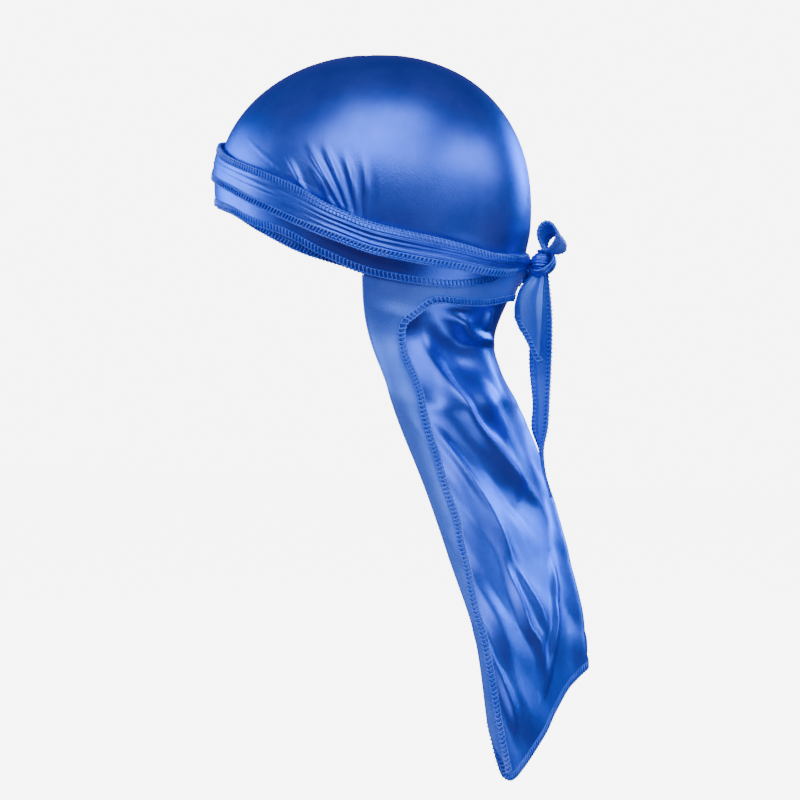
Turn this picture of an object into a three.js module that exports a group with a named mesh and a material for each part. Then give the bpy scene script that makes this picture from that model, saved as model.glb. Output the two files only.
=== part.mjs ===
// A satin durag in the form that it has when it is worn and tied.
// Millimetres, +Z up, the forehead towards -Y, the wearer's left towards +X.
// The origin is the inner top of the crown, where the cloth sits on the head.
// A turn is an angle round the head in degrees: 0 forehead, 90 wearer's left, 180 back.
import * as THREE from 'three';
import { mergeVertices } from 'three/addons/utils/BufferGeometryUtils.js';

// Head opening and crown
const headLength = 190;
const headWidth = 150;
const crownHeight = 82;
const eggShare = 0.05;
const crownLean = 2.6;
const domeFullness = 2.12;
const leanEnd = 104;
const napeTaper = 0.28;
const clothThickness = 1.2;

// Wrap made by the two straps
const wrapDrop = 137;
const strapThickness = 1.1;
const layerGap = 0.5;
const pleatHeight = 0.9;
const knotBunch = 1.6;

// Cape
const capeDrop = 403;
const capeNearTurn = 107;
const capeFarTurn = 253;
const capeFoldHeight = 7;
const lapelWidth = 19;
const lapelBend = 1.6;
const seamGap = 0.5;
const seamStartTurn = 120;
const seamRise = 18;
const seamShare = 0.5;
const drapeStart = 15;
const drapeBlend = 28;

// Knot, bow loop and tails
const knotTurn = 186;
const knotHeight = 12;
const knotDepth = 13;
const knotWidth = 17;
const knotShare = 0.72;
const knotSeat = 8.3;
const knotGroove = 0.16;
const ribbonThickness = 1.2;
const ribbonWidth = 16;

// Fineness of the faceted solids
const crownRows = 7;
const gatherTurn = 55;
const coarseStep = 9;
const fineStep = 2.5;
const strapStep = 8;
const strapSpans = 5;
const capeRows = 20;
const capeSpans = 40;
const lapelSpans = 3;
const bendSpans = 2;

// Upper and lower edge of the wrap round one side, as shares of wrapDrop
const wrapEdges = [
  { turn: 0, top: 0.350, bottom: 0.640 },
  { turn: 25, top: 0.375, bottom: 0.648 },
  { turn: 45, top: 0.430, bottom: 0.676 },
  { turn: 65, top: 0.490, bottom: 0.762 },
  { turn: 83, top: 0.566, bottom: 0.848 },
  { turn: 97, top: 0.655, bottom: 0.896 },
  { turn: 112, top: 0.730, bottom: 0.950 },
  { turn: 135, top: 0.790, bottom: 0.987 },
  { turn: 157, top: 0.838, bottom: 1.000 },
  { turn: 180, top: 0.858, bottom: 0.965 },
];

// Gathers of the crown that run into the root of each strap: turns and drops of their two
// ends, drops and height as shares of crownHeight and gatherHeight
const gatherHeight = 2.2;
const gatherWidth = 2.6;
const gatherTuck = 0.2;
const gathers = [
  { topTurn: 54, topDrop: 0.60, rootTurn: 83, rootDrop: 0.92, crest: 0.40 },
  { topTurn: 76, topDrop: 0.73, rootTurn: 84, rootDrop: 0.93, crest: 0.45 },
  { topTurn: 88, topDrop: 0.80, rootTurn: 95, rootDrop: 1.02, crest: 0.60 },
  { topTurn: 86, topDrop: 0.64, rootTurn: 99, rootDrop: 1.06, crest: 1.00 },
  { topTurn: 92.4, topDrop: 0.66, rootTurn: 102.4, rootDrop: 1.11, crest: 1.00 },
  { topTurn: 100, topDrop: 0.72, rootTurn: 104, rootDrop: 1.11, crest: 0.80 },
  { topTurn: 106.5, topDrop: 0.74, rootTurn: 105.5, rootDrop: 1.12, crest: 0.90 },
];

// Route of the left strap: layer counts outwards from the crown, low and high are shares of
// the wrap's height, counted from its lower edge
const leftStrapRoute = [
  { turn: 98, layer: 1, low: 0.05, high: 0.75 },
  { turn: 119, layer: 1, low: 0.03, high: 0.80 },
  { turn: 125, layer: 1, low: -0.27, high: 0.80 },
  { turn: 150, layer: 1, low: -0.24, high: 0.78 },
  { turn: 162, layer: 1, low: 0.02, high: 0.60 },
  { turn: 174, layer: 1, low: 0.02, high: 0.46 },
  { turn: 190, layer: 2, low: 0.02, high: 0.46 },
  { turn: 204, layer: 2, low: 0.10, high: 0.85 },
  { turn: 262, layer: 2, low: 0.12, high: 0.90 },
  { turn: 282, layer: 1, low: 0.12, high: 0.92 },
  { turn: 336, layer: 1, low: 0.12, high: 1.00 },
  { turn: 352, layer: 1, low: 0.54, high: 1.00 },
  { turn: 368, layer: 2, low: 0.54, high: 1.00 },
  { turn: 388, layer: 2, low: 0.45, high: 1.00 },
  { turn: 438, layer: 2, low: 0.42, high: 1.00 },
  { turn: 458, layer: 3, low: 0.43, high: 1.00 },
  { turn: 500, layer: 3, low: 0.40, high: 0.98 },
  { turn: 520, layer: 3, low: 0.36, high: 0.92 },
  { turn: 544, layer: 3, low: 0.42, high: 0.86 },
];

// Route of the right strap, in turns counted the other way round the head
const rightStrapRoute = [
  { turn: 98, layer: 1, low: 0.05, high: 0.75 },
  { turn: 124, layer: 1, low: 0.03, high: 0.80 },
  { turn: 150, layer: 1, low: 0.00, high: 0.86 },
  { turn: 162, layer: 1, low: 0.40, high: 0.96 },
  { turn: 170, layer: 1, low: 0.54, high: 0.98 },
  { turn: 186, layer: 2, low: 0.54, high: 0.98 },
  { turn: 200, layer: 2, low: 0.34, high: 0.94 },
  { turn: 224, layer: 2, low: 0.13, high: 0.90 },
  { turn: 262, layer: 2, low: 0.19, high: 0.90 },
  { turn: 282, layer: 1, low: 0.16, high: 0.90 },
  { turn: 305, layer: 1, low: 0.05, high: 0.88 },
  { turn: 336, layer: 1, low: 0.04, high: 0.70 },
  { turn: 352, layer: 1, low: 0.03, high: 0.46 },
  { turn: 368, layer: 2, low: 0.03, high: 0.46 },
  { turn: 388, layer: 2, low: 0.02, high: 0.58 },
  { turn: 438, layer: 2, low: 0.02, high: 0.60 },
  { turn: 458, layer: 3, low: 0.02, high: 0.62 },
  { turn: 500, layer: 3, low: 0.10, high: 0.66 },
  { turn: 532, layer: 3, low: 0.42, high: 0.84 },
];

// Sections of the hanging cape: depths as shares of capeDrop, half widths as shares of
// headWidth, places from front to back as shares of headLength
const capeSections = [
  { drop: 0.33, nearX: 0.490, nearY: 0.150, backY: 0.475, farX: 0.490, farY: 0.150 },
  { drop: 0.41, nearX: 0.465, nearY: 0.180, backY: 0.425, farX: 0.470, farY: 0.180 },
  { drop: 0.51, nearX: 0.480, nearY: 0.254, backY: 0.420, farX: 0.475, farY: 0.240 },
  { drop: 0.61, nearX: 0.525, nearY: 0.355, backY: 0.475, farX: 0.490, farY: 0.320 },
  { drop: 0.72, nearX: 0.580, nearY: 0.462, backY: 0.562, farX: 0.505, farY: 0.400 },
  { drop: 0.82, nearX: 0.645, nearY: 0.558, backY: 0.635, farX: 0.515, farY: 0.455 },
  { drop: 0.94, nearX: 0.695, nearY: 0.612, backY: 0.670, farX: 0.520, farY: 0.480 },
  { drop: 1.00, nearX: 0.710, nearY: 0.640, backY: 0.685, farX: 0.520, farY: 0.490 },
];

// Lower edge of the cape from its near margin to its far one, as shares of capeDrop
const capeHem = [
  { across: 0.00, drop: 0.920 },
  { across: 0.03, drop: 0.962 },
  { across: 0.08, drop: 0.992 },
  { across: 0.14, drop: 1.000 },
  { across: 0.22, drop: 0.990 },
  { across: 0.34, drop: 0.955 },
  { across: 0.50, drop: 0.900 },
  { across: 0.70, drop: 0.868 },
  { across: 0.88, drop: 0.852 },
  { across: 0.96, drop: 0.835 },
  { across: 1.00, drop: 0.790 },
];

// Width of the folded-over near margin down the cape, as shares of lapelWidth
const lapelProfile = [
  { down: 0.00, width: 1.00 },
  { down: 0.25, width: 1.00 },
  { down: 0.50, width: 0.72 },
  { down: 0.72, width: 0.30 },
  { down: 0.84, width: 0.08 },
  { down: 1.00, width: 0.06 },
];

// Folds of the cape: each runs from one place to another, across and down the cloth, with
// its sideways bow and half width across the cloth and its height in shares of capeFoldHeight
const capeFolds = [
  { across: 0.10, down: 0.08, toAcross: 0.60, toDown: 0.60, bow: 0.05, width: 0.085, height: 0.8 },
  { across: 0.24, down: 0.08, toAcross: 0.66, toDown: 0.27, bow: 0.02, width: 0.100, height: 1.1 },
  { across: 0.10, down: 0.32, toAcross: 0.46, toDown: 0.92, bow: 0.03, width: 0.080, height: 0.7 },
  { across: 0.14, down: 0.66, toAcross: 0.28, toDown: 1.00, bow: 0.01, width: 0.070, height: 0.7 },
  { across: 0.72, down: 0.26, toAcross: 0.76, toDown: 1.00, bow: 0.02, width: 0.080, height: 0.8 },
  { across: 0.90, down: 0.20, toAcross: 0.91, toDown: 1.00, bow: 0.01, width: 0.070, height: 0.7 },
];

// Bow loop and tails: places near the knot outwards, up and round it, width and skew of the
// end, all as shares of ribbonWidth; slant is how far the cloth is turned edge out
const loopRoute = [
  { out: 0.74, up: 0.38, round: 0.00, wide: 0.45, skew: 0, slant: 30 },
  { out: 0.60, up: 0.90, round: 0.00, wide: 0.80, skew: 0, slant: 30 },
  { out: 0.85, up: 1.30, round: 0.00, wide: 0.95, skew: 0, slant: 30 },
  { out: 1.40, up: 1.50, round: 0.00, wide: 1.00, skew: 0, slant: 30 },
  { out: 1.80, up: 1.15, round: 0.00, wide: 0.95, skew: 0, slant: 30 },
  { out: 1.60, up: 0.72, round: 0.00, wide: 0.75, skew: 0, slant: 30 },
  { out: 1.16, up: 0.36, round: 0.00, wide: 0.45, skew: 0, slant: 30 },
];
const shortTailRoute = [
  { out: 0.84, up: -0.40, round: -0.14, wide: 0.36, skew: 0.00, slant: 78 },
  { out: 0.66, up: -1.10, round: -0.60, wide: 0.95, skew: 0.05, slant: 78 },
  { out: 0.62, up: -1.70, round: -0.65, wide: 1.10, skew: 0.10, slant: 78 },
  { out: 0.66, up: -2.30, round: -0.65, wide: 1.15, skew: 0.40, slant: 78 },
  { out: 0.72, up: -2.85, round: -0.60, wide: 1.15, skew: 0.85, slant: 78 },
];
const longTailRoute = [
  { out: 1.00, up: -0.40, round: 0.14, wide: 0.36, skew: 0, slant: 75 },
  { out: 1.00, up: -1.70, round: 0.15, wide: 0.80, skew: 0, slant: 75 },
  { out: 0.98, up: -3.20, round: 0.15, wide: 1.00, skew: 0, slant: 75 },
  { out: 0.95, up: -4.70, round: 0.10, wide: 1.10, skew: 0, slant: 75 },
  { out: 0.95, up: -6.10, round: 0.05, wide: 1.00, skew: 0, slant: 60 },
  { out: 1.10, up: -7.40, round: 0.00, wide: 0.70, skew: 0, slant: 20 },
  { out: 1.45, up: -8.50, round: -0.05, wide: 0.35, skew: 0, slant: 10 },
];

const degrees = Math.PI / 180;
const crownOuter = clothThickness;

function mix(a, b, share) {
  return a + (b - a) * share;
}

function smooth(value) {
  const share = THREE.MathUtils.clamp(value, 0, 1);
  return share * share * (3 - 2 * share);
}

// Smooth curve through one column of a table that never overshoots its rows
function read(table, along, column, place) {
  const last = table.length - 1;
  if (place <= table[0][along]) return table[0][column];
  if (place >= table[last][along]) return table[last][column];
  let row = 0;
  while (place > table[row + 1][along]) row += 1;
  const span = (n) => table[n + 1][along] - table[n][along];
  const grade = (n) => (table[n + 1][column] - table[n][column]) / span(n);
  const slope = (n) => {
    if (n === 0) return grade(0);
    if (n === last) return grade(last - 1);
    const product = grade(n - 1) * grade(n);
    return product <= 0 ? 0 : (2 * product) / (grade(n - 1) + grade(n));
  };
  const width = span(row);
  const t = (place - table[row][along]) / width;
  const start = table[row][column];
  const end = table[row + 1][column];
  return (
    start * (1 + 2 * t) * (1 - t) ** 2 +
    slope(row) * width * t * (1 - t) ** 2 +
    end * t * t * (3 - 2 * t) +
    slope(row + 1) * width * t * t * (t - 1)
  );
}

// Turn measured from the forehead on either side, 0 to 180
function sideTurn(turn) {
  const whole = ((turn % 360) + 360) % 360;
  return Math.min(whole, 360 - whole);
}

function wrapTop(turn) {
  return -wrapDrop * read(wrapEdges, 'turn', 'top', sideTurn(turn));
}

function wrapBottom(turn) {
  return -wrapDrop * read(wrapEdges, 'turn', 'bottom', sideTurn(turn));
}

// Point of the head form, grown outwards by an offset
function headPoint(turn, height, offset) {
  const angle = turn * degrees;
  const above = height + crownHeight;
  const backward = (1 - Math.cos(angle)) / 2;
  const rise = Math.min(above / (crownHeight + offset), 1);
  const share = above > 0
    ? (1 - rise ** domeFullness) ** (1 / domeFullness)
    : 1 - napeTaper * (above / crownHeight) ** 2 * mix(0.35, 1, backward);
  const leanShare = THREE.MathUtils.clamp(-height / leanEnd, 0, 1);
  const lean = crownLean * Math.sin(Math.PI * leanShare);
  return new THREE.Vector3(
    (headWidth / 2 + offset) * Math.sin(angle) * (1 - eggShare * Math.cos(angle)) * share,
    -(headLength / 2 + offset) * Math.cos(angle) * share - lean,
    height,
  );
}

// Closed solid between two grids of points; a round grid joins its last column to its first
function closeSheet(outer, inner, round) {
  const position = [];
  const index = [];
  const known = new Map();
  const vertex = (point) => {
    const key = point.toArray().map((value) => Math.round(value * 1000)).join(' ');
    if (!known.has(key)) {
      known.set(key, position.length / 3);
      position.push(point.x, point.y, point.z);
    }
    return known.get(key);
  };
  const triangle = (a, b, c) => {
    const corners = [vertex(a), vertex(b), vertex(c)];
    if (new Set(corners).size === 3) index.push(...corners);
  };
  const quad = (a, b, c, d) => {
    triangle(a, b, c);
    triangle(a, c, d);
  };
  const rows = outer.length - 1;
  const columns = outer[0].length - (round ? 0 : 1);
  const next = (j) => (round ? (j + 1) % outer[0].length : j + 1);
  for (let i = 0; i < rows; i += 1) {
    for (let j = 0; j < columns; j += 1) {
      const k = next(j);
      quad(outer[i][j], outer[i + 1][j], outer[i + 1][k], outer[i][k]);
      quad(inner[i][j], inner[i][k], inner[i + 1][k], inner[i + 1][j]);
    }
    if (!round) {
      quad(outer[i][0], inner[i][0], inner[i + 1][0], outer[i + 1][0]);
      quad(outer[i][columns], outer[i + 1][columns], inner[i + 1][columns], inner[i][columns]);
    }
  }
  for (let j = 0; j < columns; j += 1) {
    const k = next(j);
    quad(outer[0][j], outer[0][k], inner[0][k], inner[0][j]);
    quad(outer[rows][j], inner[rows][j], inner[rows][k], outer[rows][k]);
  }
  const geometry = new THREE.BufferGeometry();
  geometry.setAttribute('position', new THREE.Float32BufferAttribute(position, 3));
  geometry.setIndex(index);
  geometry.computeVertexNormals();
  return geometry;
}

// Normals of a grid of points, from its neighbouring points
function gridNormals(grid) {
  return grid.map((row, i) => row.map((point, j) => {
    const below = grid[Math.min(i + 1, grid.length - 1)][j];
    const aboveIt = grid[Math.max(i - 1, 0)][j];
    const right = row[Math.min(j + 1, row.length - 1)];
    const left = row[Math.max(j - 1, 0)];
    const down = below.clone().sub(aboveIt);
    const across = right.clone().sub(left);
    return down.cross(across).normalize();
  }));
}

function grid(rows, columns, point) {
  return Array.from({ length: rows + 1 }, (_, i) => (
    Array.from({ length: columns + 1 }, (__, j) => point(i, j))
  ));
}

// Sheet of cloth laid outwards from a grid of points
function clothSheet(points, thickness) {
  const normals = gridNormals(points);
  const outer = points.map((row, i) => row.map((point, j) => (
    point.clone().addScaledVector(normals[i][j], thickness)
  )));
  return closeSheet(outer, points, false);
}

// Soft ridge across a distance, 1 on its crest and 0 past its width
function ridge(distance, width) {
  const share = Math.min(Math.abs(distance) / width, 1);
  return (1 - share * share) ** 2;
}

// Lower edge of the crown: the wrap's lower edge in front, the cape's seam under the straps
function crownEdge(turn) {
  const hidden = smooth((sideTurn(turn) - seamStartTurn) / seamRise);
  return mix(wrapBottom(turn), wrapTop(turn), seamShare * hidden);
}

function gatherLift(turn, height) {
  const side = sideTurn(turn);
  return gathers.reduce((lift, fold) => {
    const top = -fold.topDrop * crownHeight;
    const root = -fold.rootDrop * crownHeight;
    const run = (top - height) / (top - root);
    if (run < 0 || run > 1.05) return lift;
    const centre = mix(fold.topTurn, fold.rootTurn, run);
    const crest = gatherHeight * fold.crest * smooth(run * 2.5);
    return lift + crest * ridge(side - centre, gatherWidth);
  }, 0);
}

// Levels of the crown's rows: 0 its top, 1 the wrap's upper edge, 2 its own lower edge
function crownLevels() {
  const open = Array.from({ length: crownRows + 1 }, (_, i) => (
    mix((i / crownRows) ** 2, i / crownRows, 0.45 * (i / crownRows))
  ));
  return [...open, 1 + gatherTuck, 1.6, 2];
}

// Crown: one cloth shell from the top of the head down to the wrap
function makeCrown() {
  const turns = [];
  const addTurns = (from, to, step) => {
    const count = Math.round((to - from) / step);
    for (let n = 0; n < count; n += 1) turns.push(from + (n * (to - from)) / count);
  };
  addTurns(-gatherTurn, gatherTurn, coarseStep);
  addTurns(gatherTurn, capeNearTurn, fineStep);
  addTurns(capeNearTurn, capeFarTurn, (capeFarTurn - capeNearTurn) / capeSpans);
  addTurns(capeFarTurn, 360 - gatherTurn, fineStep);
  const shell = (offset) => crownLevels().map((level) => turns.map((turn) => {
    const height = level <= 1
      ? mix(offset, wrapTop(turn), level)
      : mix(wrapTop(turn), crownEdge(turn), level - 1);
    const covered = (wrapTop(turn) - height) / (wrapTop(turn) - wrapBottom(turn)) / gatherTuck;
    const lift = gatherLift(turn, height) * (1 - THREE.MathUtils.clamp(covered, 0, 1));
    return headPoint(turn, height, offset + lift);
  }));
  return closeSheet(shell(crownOuter), shell(0), true);
}

// Strap: a long band that winds round the head one and a quarter times
function makeStrap(route, side) {
  const first = route[0].turn;
  const last = route[route.length - 1].turn;
  const steps = Math.round((last - first) / strapStep);
  const layerPitch = strapThickness + layerGap;
  const surface = (extra) => grid(steps, strapSpans, (i, j) => {
    const turn = mix(first, last, i / steps);
    const layer = read(route, 'turn', 'layer', turn);
    const low = read(route, 'turn', 'low', turn);
    const high = read(route, 'turn', 'high', turn);
    const height = mix(wrapBottom(turn), wrapTop(turn), mix(low, high, j / strapSpans));
    const pleat = pleatHeight * smooth(layer - 2) * (j % 2);
    const bunch = extra > 0 ? knotBunch * smooth((turn - last + 26) / 26) : 0;
    const offset = crownOuter + layerGap + (layer - 1) * layerPitch + pleat + extra + bunch;
    const point = headPoint(turn, height, offset);
    point.x *= side;
    return point;
  });
  const outer = surface(strapThickness);
  const inner = surface(0);
  return side > 0 ? closeSheet(outer, inner, false) : closeSheet(inner, outer, false);
}

// Fold height of the cape at a place across and down the cloth
function capeFold(across, down) {
  return capeFolds.reduce((lift, fold) => {
    const runDown = fold.toDown - fold.down;
    const run = (down - fold.down) / runDown;
    const fade = smooth(run * 5 + 0.6) * smooth((1.12 - run) * 6);
    const centre = mix(fold.across, fold.toAcross, run) - fold.bow * Math.sin(Math.PI * run);
    return lift + capeFoldHeight * fold.height * fade * ridge(across - centre, fold.width);
  }, 0);
}

function capeTopEdge(turn) {
  return crownEdge(turn) - seamGap;
}

// Place on the smooth drape of the cape, before its folds
function capeBase(across, down) {
  const turn = mix(capeNearTurn, capeFarTurn, across);
  const hem = -capeDrop * read(capeHem, 'across', 'drop', across);
  const height = mix(capeTopEdge(turn), hem, down);
  const drop = -height / capeDrop;
  const column = (name) => read(capeSections, 'drop', name, drop);
  const angle = Math.PI * across;
  const near = across < 0.5;
  const edgeX = (near ? column('nearX') : column('farX')) * headWidth;
  const edgeY = (near ? column('nearY') : column('farY')) * headLength;
  const backY = column('backY') * headLength;
  const hanging = new THREE.Vector3(
    edgeX * Math.cos(angle),
    mix(edgeY, backY, Math.sin(angle)),
    height,
  );
  const free = smooth((wrapBottom(turn) - drapeStart - height) / drapeBlend);
  return headPoint(turn, height, 0).lerp(hanging, free);
}

function capeFree(across, down) {
  const turn = mix(capeNearTurn, capeFarTurn, across);
  return smooth((wrapBottom(turn) - drapeStart - capeBase(across, down).z) / 10);
}

function capeNormal(across, down) {
  const step = 0.01;
  const a = Math.min(Math.max(across, step), 1 - step);
  const d = Math.min(Math.max(down, step), 1 - step);
  const acrossWay = capeBase(a + step, d).sub(capeBase(a - step, d));
  const downWay = capeBase(a, d + step).sub(capeBase(a, d - step));
  return downWay.cross(acrossWay).normalize();
}

function capePoint(across, down) {
  const lift = capeFold(across, down) * capeFree(across, down);
  return capeBase(across, down).addScaledVector(capeNormal(across, down), lift);
}

// Cape: one sheet from under the wrap to its hem, its near margin folded over outwards
function makeCape() {
  const folded = lapelSpans + bendSpans;
  const lift = 2 * lapelBend + clothThickness;
  const probe = 0.02;
  const points = grid(capeRows, folded + capeSpans, (i, j) => {
    const down = i / capeRows;
    if (j >= folded) return capePoint((j - folded) / capeSpans, down);
    const edge = capePoint(0, down);
    const inward = capePoint(probe, down).sub(edge);
    const normal = capeNormal(0, down);
    if (j >= lapelSpans) {
      const bend = (Math.PI * (folded - j)) / (bendSpans + 1);
      return edge.addScaledVector(normal, (lift / 2) * (1 - Math.cos(bend)))
        .addScaledVector(inward.normalize(), (-lift / 2) * Math.sin(bend));
    }
    const width = lapelWidth * read(lapelProfile, 'down', 'width', down);
    const reach = (width * (lapelSpans - j)) / lapelSpans;
    const place = (probe * reach) / inward.length();
    return capePoint(place, down).addScaledVector(capeNormal(place, down), lift);
  });
  return clothSheet(points, clothThickness);
}

// Place near the knot: outwards from the head, up, and round towards the wearer's right
function knotPlace(outward, up, round) {
  const angle = knotTurn * degrees;
  const height = mix(wrapBottom(knotTurn), wrapTop(knotTurn), knotShare);
  const place = headPoint(knotTurn, height, outward);
  place.z += up;
  place.x += Math.cos(angle) * round;
  place.y += Math.sin(angle) * round;
  return place;
}

// Knot: a rounded lump with a slanting groove where one strap crosses the other
function makeKnot() {
  const base = new THREE.SphereGeometry(1, 20, 14);
  base.deleteAttribute('uv');
  base.deleteAttribute('normal');
  const geometry = mergeVertices(base, 1e-4);
  const position = geometry.getAttribute('position');
  const point = new THREE.Vector3();
  for (let n = 0; n < position.count; n += 1) {
    point.fromBufferAttribute(position, n);
    const slant = point.x * 0.55 + point.z * 0.83;
    const groove = 1 - knotGroove * ridge(slant - 0.35, 0.3);
    const lump = knotPlace(
      knotSeat + (knotDepth / 2) * (1 + point.y * groove),
      (knotHeight / 2) * point.z * groove,
      -(knotWidth / 2) * point.x * groove,
    );
    position.setXYZ(n, lump.x, lump.y, lump.z);
  }
  geometry.computeVertexNormals();
  return geometry;
}

// Ribbon along a table of places near the knot; slant turns its width from tangent to radial
function makeRibbon(table, steps, spans, width) {
  const spine = new THREE.CatmullRomCurve3(table.map((row) => (
    knotPlace(row.out * width, row.up * width, row.round * width)
  )));
  const tangent = new THREE.Vector3();
  const across = grid(steps, spans, (i, j) => {
    const t = i / steps;
    const row = t * (table.length - 1);
    const near = Math.min(Math.floor(row), table.length - 2);
    const share = row - near;
    const column = (name) => mix(table[near][name], table[near + 1][name], share);
    spine.getPoint(t, tangent);
    const centre = tangent.clone();
    const slant = column('slant') * degrees;
    const side = knotPlace(0, 0, 0).sub(knotPlace(0, 0, 1)).multiplyScalar(Math.cos(slant));
    side.add(knotPlace(1, 0, 0).sub(knotPlace(0, 0, 0)).multiplyScalar(Math.sin(slant)));
    const half = (column('wide') * width) / 2;
    const edge = (2 * j) / spans - 1;
    const skew = column('skew') * width * edge;
    centre.z -= skew;
    return centre.addScaledVector(side, half * edge);
  });
  return clothSheet(across, ribbonThickness);
}

const satin = new THREE.MeshStandardMaterial({ color: 0x2f62c8, roughness: 0.38, metalness: 0 });

function addPart(group, name, geometry) {
  const mesh = new THREE.Mesh(geometry, satin.clone());
  mesh.name = name;
  group.add(mesh);
}

const durag = new THREE.Group();
addPart(durag, 'crown', makeCrown());
addPart(durag, 'strap_left', makeStrap(leftStrapRoute, 1));
addPart(durag, 'strap_right', makeStrap(rightStrapRoute, -1));
addPart(durag, 'cape', makeCape());
addPart(durag, 'knot', makeKnot());
addPart(durag, 'bow_loop', makeRibbon(loopRoute, 20, 3, ribbonWidth));
addPart(durag, 'tail_short', makeRibbon(shortTailRoute, 10, 3, ribbonWidth));
addPart(durag, 'tail_long', makeRibbon(longTailRoute, 18, 3, ribbonWidth));

export default durag;
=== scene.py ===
# %% [markdown]
# # A satin durag, tied at the back
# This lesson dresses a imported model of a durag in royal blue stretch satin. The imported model
# gives the true sizes and places. Each piece of cloth is then laid over it as one curved
# sheet with its folds, and its cut edges get the overlock stitches that the real one has.

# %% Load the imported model
import math
import bpy
import numpy as np
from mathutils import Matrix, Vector


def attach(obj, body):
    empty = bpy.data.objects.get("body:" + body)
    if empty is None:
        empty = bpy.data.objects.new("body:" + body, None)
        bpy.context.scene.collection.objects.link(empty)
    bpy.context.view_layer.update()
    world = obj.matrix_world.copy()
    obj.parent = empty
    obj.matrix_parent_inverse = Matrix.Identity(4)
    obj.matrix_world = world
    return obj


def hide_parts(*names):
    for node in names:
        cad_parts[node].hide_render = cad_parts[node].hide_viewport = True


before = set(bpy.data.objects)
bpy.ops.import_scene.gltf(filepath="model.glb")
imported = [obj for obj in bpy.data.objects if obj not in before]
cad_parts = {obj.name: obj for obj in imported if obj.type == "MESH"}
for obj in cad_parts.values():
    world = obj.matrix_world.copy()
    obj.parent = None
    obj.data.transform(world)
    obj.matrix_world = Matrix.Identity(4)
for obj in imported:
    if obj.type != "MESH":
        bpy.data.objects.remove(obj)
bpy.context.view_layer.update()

MM = 0.001
print("pieces in the packed model:", sorted(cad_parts))

# %% [markdown]
# ## Camera
# The camera stands behind the wearer's left shoulder, a little above the brow. A long lens
# from a metre and a half away keeps the straps nearly parallel, as in the photograph.

# %% Camera at the photograph's angle
VIEW_AZIMUTH = 114.0
VIEW_ELEVATION = 3.0
VIEW_DISTANCE = 1.5
LENS_LENGTH = 113.4
SENSOR_WIDTH = 36.0
LOOK_AT = Vector((-0.006, 0.014, -0.203))


def direction(azimuth, elevation):
    a, e = math.radians(azimuth), math.radians(elevation)
    return Vector((math.sin(a) * math.cos(e), -math.cos(a) * math.cos(e), math.sin(e)))


def aim(obj, place, target):
    obj.location = place
    obj.rotation_mode = "QUATERNION"
    obj.rotation_quaternion = (target - place).to_track_quat("-Z", "Y")


def add_object(name, data):
    obj = bpy.data.objects.new(name, data)
    bpy.context.scene.collection.objects.link(obj)
    return obj


camera = add_object("camera", bpy.data.cameras.new("camera"))
camera.data.lens = LENS_LENGTH
camera.data.sensor_width = SENSOR_WIDTH
camera.data.clip_end = 50.0
aim(camera, LOOK_AT + direction(VIEW_AZIMUTH, VIEW_ELEVATION) * VIEW_DISTANCE, LOOK_AT)
bpy.context.scene.camera = camera
print("camera at", tuple(round(v, 3) for v in camera.location))

# %% [markdown]
# ## Small tools for tables and curves
# A cloth form is easiest to steer with short tables: each row is one place on the cloth, and
# a smooth curve runs through the rows without swinging past them.

# %% Smooth curve through a table


def read(table, column, place):
    along = np.array([row[0] for row in table], float)
    value = np.array([row[column] for row in table], float)
    place = np.clip(np.asarray(place, float), along[0], along[-1])
    span = np.diff(along)
    grade = np.diff(value) / span
    slope = np.empty(len(along))
    slope[0], slope[-1] = grade[0], grade[-1]
    product = grade[:-1] * grade[1:]
    total = np.where(product > 0, grade[:-1] + grade[1:], 1.0)
    slope[1:-1] = np.where(product > 0, 2 * product / total, 0.0)
    row = np.clip(np.searchsorted(along, place, side="right") - 1, 0, len(span) - 1)
    width = span[row]
    t = (place - along[row]) / width
    return (
        value[row] * (1 + 2 * t) * (1 - t) ** 2
        + slope[row] * width * t * (1 - t) ** 2
        + value[row + 1] * t * t * (3 - 2 * t)
        + slope[row + 1] * width * t * t * (t - 1)
    )


def mix(a, b, share):
    return a + (b - a) * share


def steps_between(a, b, value):
    return [round(float(mix(a, b, part)), 2) for part in smooth(np.array(value))]


def smooth(value):
    share = np.clip(value, 0.0, 1.0)
    return share * share * (3 - 2 * share)


def ridge(distance, width):
    share = np.minimum(np.abs(distance) / width, 1.0)
    return (1 - share * share) ** 2


def crest(distance, width, tip=0.14):
    share = np.sqrt((distance / width) ** 2 + tip * tip)
    return np.clip(1 - share, 0.0, 1.0) ** 2 / (1 - tip) ** 2


def unit(vectors):
    length = np.linalg.norm(vectors, axis=-1, keepdims=True)
    return vectors / np.maximum(length, 1e-9)


print("a soft step from 0 to 1 goes", steps_between(0.0, 1.0, [0.0, 0.25, 0.5, 0.75, 1.0]))


# %% [markdown]
# ## Head form
# The crown is drawn tight, so it takes the shape of the head: an egg in plan, a full dome on
# top and a slight taper into the nape. Every layer of the wrap is the same form, grown
# outwards by its own offset, so no layer cuts into the next.

# %% Sizes of the head form, in millimetres
HEAD_LENGTH = 190.0
HEAD_WIDTH = 150.0
CROWN_HEIGHT = 82.0
EGG_SHARE = 0.05
CROWN_LEAN = 2.6
DOME_FULLNESS = 2.12
LEAN_END = 104.0
NAPE_TAPER = 0.28


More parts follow.
